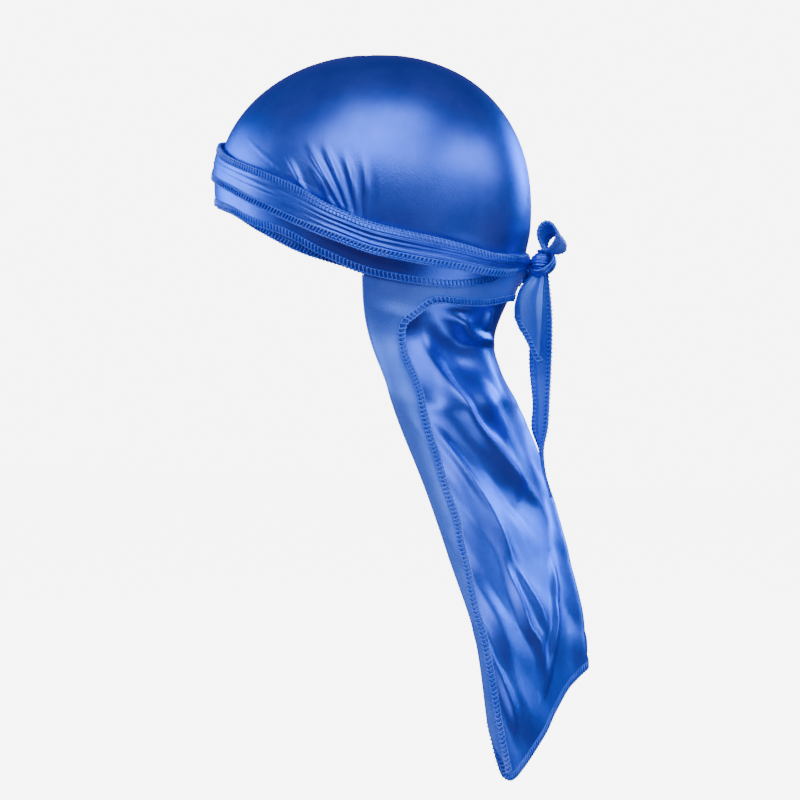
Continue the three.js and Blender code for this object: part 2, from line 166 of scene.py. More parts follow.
def head_point(turn, height, offset):
    turn, height, offset = np.broadcast_arrays(turn, height, offset)
    angle = np.radians(turn)
    above = height + CROWN_HEIGHT
    backward = (1 - np.cos(angle)) / 2
    rise = np.clip(above / (CROWN_HEIGHT + offset), 0.0, 1.0)
    dome = (1 - rise**DOME_FULLNESS) ** (1 / DOME_FULLNESS)
    nape = 1 - NAPE_TAPER * (above / CROWN_HEIGHT) ** 2 * mix(0.35, 1.0, backward)
    share = np.where(above > 0, dome, nape)
    lean = CROWN_LEAN * np.sin(np.pi * np.clip(-height / LEAN_END, 0.0, 1.0))
    x = (HEAD_WIDTH / 2 + offset) * np.sin(angle) * (1 - EGG_SHARE * np.cos(angle)) * share
    y = -(HEAD_LENGTH / 2 + offset) * np.cos(angle) * share - lean
    return np.stack([x, y, height + 0.0 * x], axis=-1)


ring = head_point(np.linspace(0.0, 360.0, 181), -CROWN_HEIGHT, 0.0)
girth = np.linalg.norm(np.diff(ring, axis=0), axis=1).sum()
print("the head form is", round(float(girth)), "mm round")


# %% [markdown]
# ## Upper and lower edge of the wrap
# The two straps lie over each other in one band that dips from the forehead to the nape. Its
# two edges are a table over the turn round the head: 0 is the forehead and 180 the back.

# %% Edges of the wrap
WRAP_DROP = 137.0
WRAP_EDGES = [
    # turn, upper edge, lower edge, as shares of WRAP_DROP
    (0, 0.350, 0.640),
    (25, 0.375, 0.648),
    (45, 0.430, 0.676),
    (65, 0.490, 0.762),
    (83, 0.566, 0.848),
    (97, 0.655, 0.896),
    (112, 0.730, 0.950),
    (135, 0.790, 0.987),
    (157, 0.838, 1.000),
    (180, 0.858, 0.965),
]
CLOTH = 1.2
STRAP_CLOTH = 1.1
LAYER_GAP = 0.5
SEAM_GAP = 0.5
SEAM_START = 120.0
SEAM_RISE = 18.0
SEAM_SHARE = 0.5


def side_turn(turn):
    whole = np.mod(turn, 360.0)
    return np.minimum(whole, 360.0 - whole)


def wrap_top(turn):
    return -WRAP_DROP * read(WRAP_EDGES, 1, side_turn(turn))


def wrap_bottom(turn):
    return -WRAP_DROP * read(WRAP_EDGES, 2, side_turn(turn))


def crown_edge(turn):
    hidden = smooth((side_turn(turn) - SEAM_START) / SEAM_RISE)
    return mix(wrap_bottom(turn), wrap_top(turn), SEAM_SHARE * hidden)


print("the wrap is", round(float(wrap_top(0) - wrap_bottom(0))), "mm high at the forehead")

# %% [markdown]
# ## From a grid of points to cloth
# A sheet is a grid of points. Each grid becomes quads with a UV map measured in metres of
# cloth, so that a weave drawn on it keeps its real size, and Solidify gives it its wall.

# %% Mesh, faces and UVs of a grid


def add_mesh(name, points, faces, uvs=None):
    mesh = bpy.data.meshes.new(name)
    mesh.from_pydata((points * MM).tolist(), [], faces.tolist())
    if uvs is not None:
        layer = mesh.uv_layers.new(name="cloth")
        corner = np.empty(len(mesh.loops), np.int64)
        mesh.loops.foreach_get("vertex_index", corner)
        layer.data.foreach_set("uv", uvs[corner].astype(np.float32).ravel())
    mesh.validate()
    return add_object(name, mesh)


def grid_faces(rows, columns):
    i = np.arange(rows - 1)[:, None]
    j = np.arange(columns - 1)[None, :]
    here = i * columns + j
    below = here + columns
    return np.stack([here, below, below + 1, here + 1], -1).reshape(-1, 4)


def grid_uvs(points):
    down = np.linalg.norm(np.diff(points, axis=0), axis=-1)
    across = np.linalg.norm(np.diff(points, axis=1), axis=-1)
    v = np.concatenate([np.zeros((1, points.shape[1])), np.cumsum(down, 0)], 0)
    u = np.concatenate([np.zeros((points.shape[0], 1)), np.cumsum(across, 1)], 1)
    return np.stack([u, v], -1).reshape(-1, 2) * MM


# %% Walls of a sheet
WELD_REACH = 0.02


def select_only(piece):
    bpy.ops.object.select_all(action="DESELECT")
    piece.select_set(True)
    bpy.context.view_layer.objects.active = piece


def apply_modifiers(piece):
    select_only(piece)
    for modifier in list(piece.modifiers):
        bpy.ops.object.modifier_apply(modifier=modifier.name)


def weld_seams(piece):
    weld = piece.modifiers.new("weld", "WELD")
    weld.merge_threshold = WELD_REACH * MM


def cloth_sheet(name, points, thickness, offset=-1.0, turned=0):
    faces = grid_faces(*points.shape[:2])
    piece = add_mesh(name, points.reshape(-1, 3), faces, grid_uvs(points))
    shows_back = np.arange(len(faces)) % (points.shape[1] - 1) < turned
    piece.data.polygons.foreach_set("material_index", shows_back.astype(np.int32))
    weld_seams(piece)
    wall = piece.modifiers.new("wall", "SOLIDIFY")
    wall.thickness = thickness * MM
    wall.offset = offset
    apply_modifiers(piece)
    bpy.ops.object.shade_smooth()
    print(name, "has", len(piece.data.polygons), "faces")
    return piece


def grid_normals(points):
    down = np.gradient(points, axis=0)
    across = np.gradient(points, axis=1)
    return unit(np.cross(down, across))


# %% [markdown]
# ## Crown
# The crown is one tight cap. Where the straps pull on it, above the ear, the cloth gathers
# into sharp ridges that fan out from the root of the strap. Each ridge is a row of a table:
# where it starts, where it ends, how high and how wide it is. A shallow seam runs over the
# top from front to back.

# %% Gathers of the crown
GATHERS = [
    # open end: turn, height; root: turn, height; crest in mm, half width in degrees
    (50.0, -46.0, 83.0, -76.0, 0.4, 2.4),
    (76.0, -58.0, 84.5, -77.5, 1.3, 2.0),
    (87.0, -64.0, 95.0, -86.0, 1.9, 2.1),
    (84.5, -50.0, 99.0, -89.0, 2.5, 2.3),
    (91.5, -50.0, 102.2, -93.0, 2.7, 2.3),
    (99.8, -55.0, 104.8, -95.0, 2.5, 2.1),
    (107.3, -56.0, 107.4, -97.0, 2.1, 2.0),
]
CREASES = [
    (53.5, -49.5, 84.5, -79.0, -0.5, 1.3),
    (110.6, -66.0, 109.4, -99.0, -0.7, 1.6),
    (93.5, -60.0, 99.4, -88.0, -0.6, 1.5),
]
GATHER_BEND = 1.2
GATHER_TIP = 0.3
GATHER_COVER = 0.2
ROWS_EVEN = 0.25
ROWS_POWER = 1.7
SEAM_TILT = math.radians(8.0)
SEAM_DEPTH = 0.45
SEAM_REACH = 1.5


def fan(rows, turn, height):
    side = side_turn(turn)
    lift = np.zeros(np.broadcast(turn, height).shape)
    for open_turn, open_height, root_turn, root_height, top, width in rows:
        run = (open_height - height) / (open_height - root_height)
        centre = mix(open_turn, root_turn, run)
        centre = centre + GATHER_BEND * np.sin(np.pi * np.clip(run, 0, 1))
        fade = smooth(run * 1.6) * smooth((1.5 - run) * 4)
        near = width * mix(1.2, 0.75, np.clip(run, 0, 1))
        lift = lift + top * fade * crest(side - centre, near, GATHER_TIP)
    return lift


def crown_points(rows=100, hidden_rows=20, columns=384):
    turn = np.linspace(0.0, 360.0, columns + 1)[None, :]
    top = wrap_top(turn)
    level = np.linspace(0.0, 1.0, rows - hidden_rows)[:, None]
    crowded = ROWS_EVEN * level + (1 - ROWS_EVEN) * level**ROWS_POWER
    upper = mix(CLOTH, top, crowded)
    under = mix(top, crown_edge(turn), np.arange(1, hidden_rows + 1)[:, None] / hidden_rows)
    height = np.concatenate([upper, under], 0)
    turn = turn + 0.0 * height
    covered = np.clip((top - height) / (GATHER_COVER * (top - wrap_bottom(turn))), 0, 1)
    lift = (fan(GATHERS, turn, height) + fan(CREASES, turn, height)) * (1 - covered)
    form = head_point(turn, height, 0.0)
    aside = form[..., 0] * math.cos(SEAM_TILT) + form[..., 1] * math.sin(SEAM_TILT)
    lift -= SEAM_DEPTH * ridge(aside, SEAM_REACH) * (1 - covered)
    return head_point(turn, height, CLOTH + lift)


crown_grid = crown_points()
crown = cloth_sheet("crown_cloth", crown_grid, 1.0)

# %% [markdown]
# ## Straps
# Each strap leaves the crown at the temple, goes round the back, over the other strap and
# across the forehead, and comes back to the knot. It winds one and a quarter times round the
# head, so a table gives its layer and its two edges along the way. Pleats run along it and
# close up towards the knot.

# %% Routes of the straps
LEFT_ROUTE = [
    # turn, layer, lower edge, upper edge, pleat height in mm
    (98, 1, 0.05, 0.75, 0.2),
    (119, 1, 0.03, 0.80, 0.2),
    (125, 1, -0.27, 0.80, 0.3),
    (150, 1, -0.24, 0.78, 0.3),
    (162, 1, 0.02, 0.60, 0.3),
    (174, 1, 0.02, 0.46, 0.3),
    (190, 2, 0.02, 0.46, 0.3),
    (204, 2, 0.10, 0.85, 0.3),
    (262, 2, 0.12, 0.90, 0.3),
    (282, 1, 0.12, 0.92, 0.3),
    (336, 1, 0.12, 1.00, 0.3),
    (352, 1, 0.54, 1.00, 0.4),
    (368, 2, 0.54, 1.00, 0.4),
    (388, 2, 0.45, 1.00, 0.4),
    (438, 2, 0.42, 1.00, 0.5),
    (458, 3.8, 0.43, 1.00, 0.8),
    (500, 3.8, 0.40, 0.98, 1.3),
    (520, 3.8, 0.36, 0.92, 1.5),
    (544, 3.8, 0.42, 0.86, 1.5),
]
RIGHT_ROUTE = [
    (98, 1, 0.05, 0.75, 0.2),
    (124, 1, 0.03, 0.80, 0.2),
    (150, 1, 0.00, 0.86, 0.3),
    (162, 1, 0.40, 0.96, 0.3),
    (170, 1, 0.54, 0.98, 0.3),
    (186, 2, 0.54, 0.98, 0.3),
    (200, 2.8, 0.20, 0.94, 0.9),
    (224, 2.8, 0.02, 0.90, 0.9),
    (256, 2.8, 0.02, 0.90, 0.8),
    (268, 2, 0.08, 0.90, 0.6),
    (282, 1, 0.16, 0.90, 0.3),
    (305, 1, 0.05, 0.88, 0.3),
    (336, 1, 0.04, 0.70, 0.3),
    (352, 1, 0.03, 0.46, 0.4),
    (368, 2, 0.03, 0.46, 0.4),
    (388, 2, 0.02, 0.58, 0.4),
    (438, 2, 0.02, 0.60, 0.5),
    (458, 3, 0.02, 0.62, 0.8),
    (500, 3, 0.10, 0.66, 1.2),
    (532, 3, 0.42, 0.84, 1.4),
]

# %% Pleats along a strap
PLEAT_COUNT = 8
PLEAT_TIP = 0.3
PLEAT_WANDER = 0.012


def pleat_lines(seed):
    chance = np.random.default_rng(seed)
    start = chance.uniform(350.0, 480.0, PLEAT_COUNT)
    length = chance.uniform(50.0, 150.0, PLEAT_COUNT)
    place = (np.arange(PLEAT_COUNT) + chance.uniform(0.2, 0.8, PLEAT_COUNT)) / PLEAT_COUNT
    lean = chance.uniform(-0.10, 0.10, PLEAT_COUNT)
    width = chance.uniform(0.045, 0.130, PLEAT_COUNT)
    height = chance.uniform(0.40, 1.1, PLEAT_COUNT)
    return zip(start, length, place, lean, width, height)


def pleats(turn, v, seed):
    lift = np.zeros(np.broadcast(turn, v).shape)
    for start, length, place, lean, width, height in pleat_lines(seed):
        run = (turn - start) / length
        centre = place + lean * run + PLEAT_WANDER * np.sin(turn / 9.0 + 20 * place)
        fade = smooth(run * 3) * smooth((2.2 - run) * 2)
        lift = np.maximum(lift, height * fade * crest(v - centre, width, PLEAT_TIP))
    return lift


# %% Sheets of the straps
STRAP_COLUMNS = 46
EDGE_FADE = 12
STRAP_RIPPLE = 0.12
KNOT_BUNCH = 1.6
BUNCH_TURN = 26
FLARE = 5.0
FLARE_START = 430
FLARE_RISE = 40
FLARE_FALL = 24


def strap_points(route, side, seed):
    last_turn = route[-1][0]
    turn = np.arange(route[0][0], last_turn + 1.0)[:, None]
    v = np.linspace(0.0, 1.0, STRAP_COLUMNS)[None, :]
    layer = read(route, 1, turn)
    share = mix(read(route, 2, turn), read(route, 3, turn), v)
    height = mix(wrap_bottom(turn), wrap_top(turn), share)
    edge = smooth(v * EDGE_FADE) * smooth((1 - v) * EDGE_FADE)
    pleat = read(route, 4, turn) * pleats(turn, v, seed) * edge
    pleat = pleat + STRAP_RIPPLE * np.sin(turn / 7.0 + 5 * v) * edge
    bunch = KNOT_BUNCH * smooth((turn - last_turn + BUNCH_TURN) / BUNCH_TURN)
    near_knot = smooth((turn - FLARE_START) / FLARE_RISE)
    flare = FLARE * near_knot * smooth((last_turn - turn) / FLARE_FALL) * (1 - v)
    pitch = STRAP_CLOTH + LAYER_GAP
    offset = CLOTH + LAYER_GAP + (layer - 1) * pitch + STRAP_CLOTH + pleat + bunch + flare
    points = head_point(turn + 0.0 * v, height, offset)
    points[..., 0] *= side
    return points


LEFT_SEED = 11
RIGHT_SEED = 5
left_points = strap_points(LEFT_ROUTE, 1.0, LEFT_SEED)
right_points = strap_points(RIGHT_ROUTE, -1.0, RIGHT_SEED)[:, ::-1]
strap_left = cloth_sheet("strap_left_cloth", left_points, 0.9)
strap_right = cloth_sheet("strap_right_cloth", right_points, 0.9)

# %% [markdown]
# ## Cape
# The cape hangs from the crown's lower edge behind the ears. Its sections are a table down
# its length, its hem another, its folds a third and its soft bumps a fourth. The near front
# margin is folded over outwards, so the overlocked edge lies on top of the cloth like a
# lapel; one more table says how far the flap reaches at each height.

# %% Sections, hem and folds of the cape
CAPE_DROP = 403.0
NEAR_TURN = 107.0
FAR_TURN = 253.0
DRAPE_START = 8.0
DRAPE_BLEND = 62.0
FREE_RUN = 10.0
CAPE_SECTIONS = [
    # drop, near x, near y, back y, far x, far y, as shares of the cape and the head
    (0.33, 0.480, 0.150, 0.460, 0.490, 0.150),
    (0.41, 0.475, 0.180, 0.425, 0.470, 0.180),
    (0.51, 0.495, 0.254, 0.425, 0.475, 0.240),
    (0.61, 0.525, 0.355, 0.475, 0.490, 0.320),
    (0.72, 0.580, 0.462, 0.562, 0.505, 0.400),
    (0.82, 0.645, 0.558, 0.635, 0.515, 0.455),
    (0.94, 0.695, 0.612, 0.670, 0.520, 0.480),
    (1.00, 0.710, 0.640, 0.685, 0.520, 0.490),
]
CAPE_HEM = [
    # across the cape from near to far, how low it hangs as a share of CAPE_DROP
    (0.00, 0.920),
    (0.03, 0.962),
    (0.08, 0.992),
    (0.14, 1.000),
    (0.22, 0.990),
    (0.34, 0.955),
    (0.50, 0.900),
    (0.70, 0.868),
    (0.88, 0.852),
    (0.96, 0.835),
    (1.00, 0.790),
]

# %% Folded flap, bumps and folds of the cape
FLAP_REACH = [
    # down the cape, edge of the folded-over flap across it
    (0.000, 0.560),
    (0.066, 0.560),
    (0.070, 0.190),
    (0.076, 0.134),
    (0.086, 0.114),
    (0.105, 0.109),
    (0.160, 0.107),
    (0.210, 0.118),
    (0.275, 0.124),
    (0.340, 0.115),
    (0.440, 0.105),
    (0.490, 0.104),
    (0.550, 0.085),
    (0.610, 0.073),
    (0.700, 0.053),
    (0.780, 0.054),
    (0.900, 0.062),
    (1.000, 0.070),
]
FOLD_LEAN = 0.75
CAPE_BUMPS = [
    # height in mm, place across and down the cape, half sizes across and down
    (-2.4, 0.700, 0.330, 0.200, 0.090),
    (-2.5, 0.330, 0.190, 0.110, 0.090),
    (3.4, 0.430, 0.330, 0.080, 0.130),
    (2.4, 0.570, 0.470, 0.080, 0.160),
    (2.2, 0.360, 0.540, 0.060, 0.160),
    (2.0, 0.170, 0.690, 0.070, 0.170),
    (1.6, 0.430, 0.820, 0.075, 0.180),
    (1.5, 0.260, 0.900, 0.070, 0.170),
    (1.6, 0.170, 0.420, 0.045, 0.150),
]
CAPE_FOLDS = [
    # height in mm, half width across, and the crest's way: down, across
    (6.5, 0.090, [(0.03, 0.140), (0.10, 0.165), (0.17, 0.182), (0.21, 0.205), (0.25, 0.240)]
     + [(0.29, 0.285), (0.35, 0.335), (0.41, 0.395), (0.48, 0.455), (0.55, 0.520)]
     + [(0.61, 0.590), (0.70, 0.650)]),
    (4.6, 0.110, [(0.062, 0.205), (0.080, 0.250), (0.104, 0.310), (0.138, 0.365)]
     + [(0.163, 0.440), (0.180, 0.520), (0.200, 0.640)]),
    (3.6, 0.065, [(0.26, 0.125), (0.33, 0.165), (0.40, 0.215), (0.46, 0.260), (0.52, 0.295)]
     + [(0.58, 0.320), (0.70, 0.350)]),
    (2.4, 0.040, [(0.58, 0.290), (0.67, 0.300), (0.75, 0.312), (0.82, 0.355), (0.93, 0.380)]),
    (1.8, 0.035, [(0.63, 0.340), (0.69, 0.360), (0.76, 0.385), (0.84, 0.400)]),
    (2.0, 0.045, [(0.68, 0.065), (0.75, 0.085), (0.80, 0.135), (0.88, 0.190), (0.96, 0.220)]),
    (2.6, 0.045, [(0.06, 0.420), (0.09, 0.440), (0.12, 0.455), (0.15, 0.475)]),
    (2.0, 0.050, [(0.70, 0.560), (0.78, 0.490), (0.85, 0.420), (0.95, 0.350)]),
    (5.0, 0.110, [(0.26, 0.715), (0.45, 0.745), (0.60, 0.735), (0.70, 0.665), (0.77, 0.620)]
     + [(0.84, 0.590), (0.93, 0.565), (1.00, 0.555)]),
    (4.0, 0.080, [(0.20, 0.900), (0.50, 0.905), (1.00, 0.910)]),
]


# %% Bare form of the cape


def cape_base(across, down):
    across, down = np.broadcast_arrays(across, down)
    turn = mix(NEAR_TURN, FAR_TURN, across)
    height = mix(crown_edge(turn) - SEAM_GAP, -CAPE_DROP * read(CAPE_HEM, 1, across), down)
    drop = -height / CAPE_DROP
    near = across < 0.5
    edge_x = np.where(near, read(CAPE_SECTIONS, 1, drop), read(CAPE_SECTIONS, 4, drop))
    edge_y = np.where(near, read(CAPE_SECTIONS, 2, drop), read(CAPE_SECTIONS, 5, drop))
    back_y = read(CAPE_SECTIONS, 3, drop)
    angle = np.pi * across
    hanging = np.stack(
        [
            edge_x * HEAD_WIDTH * np.cos(angle),
            mix(edge_y, back_y, np.sin(angle)) * HEAD_LENGTH,
            height,
        ],
        -1,
    )
    free = smooth((wrap_bottom(turn) - DRAPE_START - height) / DRAPE_BLEND)[..., None]
    return mix(head_point(turn, height, 0.0), hanging, free)


def cape_free(across, down):
    turn = mix(NEAR_TURN, FAR_TURN, across)
    return smooth((wrap_bottom(turn) - DRAPE_START - cape_base(across, down)[..., 2]) / FREE_RUN)


def cape_normal(across, down):
    step = 0.01
    a = np.clip(across, step, 1 - step)
    d = np.clip(down, step, 1 - step)
    a, d = np.broadcast_arrays(a, d)
    across_way = cape_base(a + step, d) - cape_base(a - step, d)
    down_way = cape_base(a, d + step) - cape_base(a, d - step)
    return unit(np.cross(down_way, across_way))


# %% Relief of the cape
FOLD_FADE = 0.35
RIPPLE = 0.15


def cape_fold(across, down):
    lift = np.zeros(np.broadcast(across, down).shape)
    for height, width, way in CAPE_FOLDS:
        first, last = way[0][0], way[-1][0]
        span = FOLD_FADE * (last - first)
        fade = smooth((down - first) / span) * smooth((last - down) / span + (last >= 1.0))
        lift = lift + height * fade * crest(across - read(way, 1, down), width)
    lean = across - FOLD_LEAN * down
    ripple = np.sin(38 * lean + 2.5 * np.sin(6 * down)) + 0.4 * np.sin(81 * lean + 9 * down)
    for height, a, d, half_across, half_down in CAPE_BUMPS:
        aside = across - a - FOLD_LEAN * (down - d)
        lift = lift + height * ridge(aside, half_across) * ridge(down - d, half_down)
    return lift + RIPPLE * ripple * smooth(across * 9) * smooth(down * 6)


def cape_point(across, down):
    lift = cape_fold(across, down) * cape_free(across, down)
    return cape_base(across, down) + cape_normal(across, down) * lift[..., None]


# %% Sheet of the cape with its folded flap
LAPEL_BEND = 1.6
TUCK = 0.03
TUCK_ROWS = 4
CAPE_ROWS = 160
CORNER_ROWS = (0.064, 0.074, 25)
BODY_COLUMNS = 200
FLAP_COLUMNS = 32
BEND_COLUMNS = 6
MARGIN_COLUMNS = FLAP_COLUMNS + BEND_COLUMNS
FLAP_STAND = 3.0
STAND_RISE = 0.08
STAND_FALL = 0.2
FLAP_END = 0.56
INWARD_STEP = 0.02


def cape_rows():
    down = np.union1d(np.linspace(0.0, 1.0, CAPE_ROWS), np.linspace(*CORNER_ROWS))
    tucked = np.linspace(-TUCK, 0.0, TUCK_ROWS + 1)[:-1]
    return np.concatenate([tucked, down])[:, None]


def cape_points(tucked):
    down = np.maximum(tucked, 0.0)
    across = np.linspace(0.0, 1.0, BODY_COLUMNS)[None, :]
    main = cape_point(across, down)
    lift = 2 * LAPEL_BEND + CLOTH
    edge = cape_point(np.zeros((1, 1)), down)
    normal = cape_normal(np.zeros((1, 1)), down)
    inward = cape_point(np.full((1, 1), INWARD_STEP), down) - edge
    angle = np.pi * np.linspace(1.0, 0.0, BEND_COLUMNS + 2)[None, 1:-1]
    turn_over = (
        edge
        + normal * (lift / 2 * (1 - np.cos(angle)))[..., None]
        - unit(inward) * (lift / 2 * np.sin(angle))[..., None]
    )
    place = read(FLAP_REACH, 1, tucked) * np.linspace(1.0, 0.0, FLAP_COLUMNS)[None, :]
    down = tucked + 0.0 * place
    stand = FLAP_STAND * cape_free(place, down) * smooth(place / STAND_RISE)
    stand = stand * smooth((FLAP_END - place) / STAND_FALL)
    folded = cape_base(place, down) + cape_normal(place, down) * (
        lift + stand + cape_fold(place, down) * cape_free(place, down)
    )[..., None]
    return np.concatenate([folded, turn_over, main], 1)


cape_grid = cape_points(cape_rows())
cape = cloth_sheet("cape_cloth", cape_grid, 1.0, offset=1.0, turned=MARGIN_COLUMNS)

# %% [markdown]
# ## Knot, bow loop and tails
# The strap ends are tied at the nape, a little to the right. The knot is a pleated lump with
# one band drawn over it on the slant. A loop of cloth stands above it and two tails hang
# below it. Each is a ribbon that follows a table of places near the knot.

# %% Places near the knot
KNOT_TURN = 186.0
KNOT_SHARE = 0.72
RIBBON = 16.0
LOOP_ROUTE = [
    # out, up and round from the knot, width, skew of the end, slant in degrees
    (1.05, 0.36, 0.00, 0.40, -0.10, -10),
    (0.93, 0.70, 0.00, 0.75, -0.25, -10),
    (1.00, 1.05, 0.00, 0.85, -0.25, -10),
    (1.25, 1.27, 0.00, 0.85, -0.25, -10),
    (1.55, 1.22, 0.00, 0.85, -0.25, -10),
    (1.76, 0.97, 0.00, 0.85, -0.25, -10),
    (1.74, 0.67, 0.00, 0.80, -0.25, -10),
    (1.50, 0.45, 0.00, 0.60, -0.15, -10),
    (1.20, 0.34, 0.00, 0.40, -0.05, -10),
]
SHORT_TAIL_ROUTE = [
    # the same columns
    (0.88, -0.36, -0.14, 0.40, 0.00, 78),
    (0.72, -0.95, -0.45, 0.90, 0.10, 78),
    (0.64, -1.55, -0.60, 1.10, 0.25, 78),
    (0.58, -2.15, -0.62, 1.12, 0.50, 78),
    (0.55, -2.79, -0.60, 1.02, 0.85, 78),
]
LONG_TAIL_ROUTE = [
    # the same columns
    (1.00, -0.36, 0.14, 0.40, 0.00, 75),
    (0.95, -1.40, 0.15, 0.80, 0.00, 75),
    (0.93, -2.34, 0.15, 0.95, 0.00, 75),
    (0.90, -3.72, 0.15, 0.94, 0.00, 75),
    (0.95, -5.13, 0.10, 0.74, 0.00, 70),
    (0.92, -6.05, 0.05, 0.80, 0.00, 60),
    (1.02, -6.85, 0.00, 0.42, 0.00, 30),
    (1.14, -7.60, 0.00, 0.32, 0.00, 20),
    (1.44, -8.50, -0.05, 0.20, 0.00, 10),
]


def knot_place(outward, up, around):
    angle = math.radians(KNOT_TURN)
    height = mix(float(wrap_bottom(KNOT_TURN)), float(wrap_top(KNOT_TURN)), KNOT_SHARE)
    outward, up, around = np.broadcast_arrays(outward, up, around)
    place = head_point(KNOT_TURN, height, outward)
    place[..., 0] += math.cos(angle) * around
    place[..., 1] += math.sin(angle) * around
    place[..., 2] += up
    return place


OUTWARD = knot_place(1.0, 0.0, 0.0) - knot_place(0.0, 0.0, 0.0)
SIDEWAYS = knot_place(0.0, 0.0, 0.0) - knot_place(0.0, 0.0, 1.0)
print("the knot is tied at", knot_place(0.0, 0.0, 0.0).round(), "mm")

# %% Ribbons of cloth
RIBBON_SHARPNESS = 0.8
RIBBON_CLOSING = 0.55


def curve_through(rows, t):
    rows = np.asarray(rows, float)
    place = np.clip(t, 0.0, 1.0) * (len(rows) - 1)
    n = np.minimum(place.astype(int), len(rows) - 2)
    f = (place - n)[:, None]
    padded = np.concatenate([2 * rows[:1] - rows[1:2], rows, 2 * rows[-1:] - rows[-2:-1]], 0)
    p0, p1, p2, p3 = (padded[n + k] for k in range(4))
    return 0.5 * (
        2 * p1
        + (p2 - p0) * f
        + (2 * p0 - 5 * p1 + 4 * p2 - p3) * f**2
        + (3 * p1 - p0 - 3 * p2 + p3) * f**3
    )


def ribbon_points(route, rows, columns, pleat, count, phase=0.0):
    t = np.linspace(0.0, 1.0, rows)
    out, up, around, wide, skew, slant = curve_through(route, t).T
    spine = knot_place(out * RIBBON, up * RIBBON, around * RIBBON)
    v = np.linspace(-1.0, 1.0, columns)
    turn = np.radians(slant)[:, None, None]
    side = SIDEWAYS * np.cos(turn) + OUTWARD * np.sin(turn)
    half = (wide * RIBBON / 2)[:, None, None]
    points = spine[:, None, :] + side * half * v[None, :, None]
    points[..., 2] -= (skew * RIBBON)[:, None] * v[None, :]
    drift = phase + 0.5 * t[:, None] + 0.25 * np.sin(5 * t)[:, None]
    fold = np.abs(np.sin(np.pi * (count * (v[None, :] + 1) / 2 + drift)))
    lift = pleat * (1 - fold**RIBBON_SHARPNESS) * smooth((1 - np.abs(v)) * 5)[None, :]
    close = mix(1.0, RIBBON_CLOSING, smooth(t * 1.4))[:, None]
    return points + grid_normals(points) * (lift * close)[..., None]


loop_grid = ribbon_points(LOOP_ROUTE, rows=120, columns=30, pleat=1.2, count=1.5)
short_grid = ribbon_points(
    SHORT_TAIL_ROUTE, rows=90, columns=34, pleat=2.0, count=1.5, phase=0.35
)
long_grid = ribbon_points(
    LONG_TAIL_ROUTE, rows=190, columns=40, pleat=1.6, count=1.2, phase=0.1
)
bow_loop = cloth_sheet("bow_loop_cloth", loop_grid, 0.9, offset=1.0)
tail_short = cloth_sheet("tail_short_cloth", short_grid, 0.9, offset=1.0)
tail_long = cloth_sheet("tail_long_cloth", long_grid, 0.9, offset=1.0)

# %% Knot
KNOT_SEAT = 8.3
KNOT_SIZE = (17.0, 13.0, 12.0)
KNOT_PLEAT = 0.9
KNOT_PLEATS = 3.2
KNOT_GROWTH = 0.2
BAND_TURN = 2.0
BAND_TILT = math.radians(-52.0)
BAND_REACH = 0.42
BAND_LIFT = 1.1
BAND_ROUND = 0.7
BAND_PLEAT = 0.5


def knot_surface(longitude, latitude, grow):
    x = np.cos(latitude) * np.sin(longitude)
    y = np.cos(latitude) * np.cos(longitude)
    z = np.sin(latitude)
    wide, deep, high = (size / 2 + grow for size in KNOT_SIZE)
    return knot_place(KNOT_SEAT + KNOT_SIZE[1] / 2 + deep * y, high * z, wide * x)


def knot_points(rows=70, columns=120):
    latitude = np.linspace(np.pi / 2, -np.pi / 2, rows)[:, None]
    longitude = np.linspace(0.0, -2 * np.pi, columns + 1)[None, :]
    x = np.cos(latitude) * np.sin(longitude)
    slant = 0.35 * x + 0.94 * np.sin(latitude)
    wave = np.abs(np.sin(np.pi * (KNOT_PLEATS * slant + 0.3 * x * x)))
    pleat = KNOT_PLEAT * wave**RIBBON_SHARPNESS
    pinch = smooth((np.cos(latitude) - 0.1) * 4)
    return knot_surface(longitude, latitude, (pleat - KNOT_PLEAT) * pinch + KNOT_GROWTH)


def band_points(rows=90, columns=22):
    around = np.linspace(-BAND_TURN, BAND_TURN, rows)[:, None]
    v = np.linspace(-1.0, 1.0, columns)[None, :]
    reach = BAND_REACH * v * mix(1.0, 0.7, smooth(np.abs(around) - 0.6))
    along = around + 0.0 * v
    c, s = math.cos(BAND_TILT), math.sin(BAND_TILT)
    x = np.cos(reach) * np.sin(along) * c - np.sin(reach) * s
    z = np.cos(reach) * np.sin(along) * s + np.sin(reach) * c
    y = np.cos(reach) * np.cos(along)
    lift = BAND_LIFT + BAND_ROUND * np.sqrt(np.clip(1 - v * v, 0, 1))
    lift = lift + BAND_PLEAT * np.abs(np.sin(np.pi * (1.5 * v + 0.3 * around)))
    wide, deep, high = (size / 2 for size in KNOT_SIZE)
    return knot_place(
        KNOT_SEAT + deep + (deep + lift) * y, (high + lift) * z, -(wide + lift) * x
    )


knot_grid = knot_points()
knot = add_mesh("knot_cloth", knot_grid.reshape(-1, 3), grid_faces(*knot_grid.shape[:2]))
weld_seams(knot)
apply_modifiers(knot)
bpy.ops.object.shade_smooth()
print("knot_cloth has", len(knot.data.polygons), "faces")
band_grid = band_points()
knot_band = cloth_sheet("knot_band", band_grid, 0.9)

# %% [markdown]
# ## Overlock stitches
# Every cut edge of a durag is overlocked: a thread climbs on the slant from the edge to a
# needle line a few millimetres inside it, again and again, and a second thread chains along
# the edge. Up close these slanted teeth are what the eye reads as sewn cloth.

# %% Thread along an edge
PITCH = 2.4
SEAM_WIDTH = 3.8
NARROW_SEAM = 3.2
TAIL_SEAM = 2.6
LOOP_SEAM = 2.2
THREAD = 0.42
CHAIN_THREAD = 0.8 * THREAD
NEEDLE_THREAD = 0.75 * THREAD


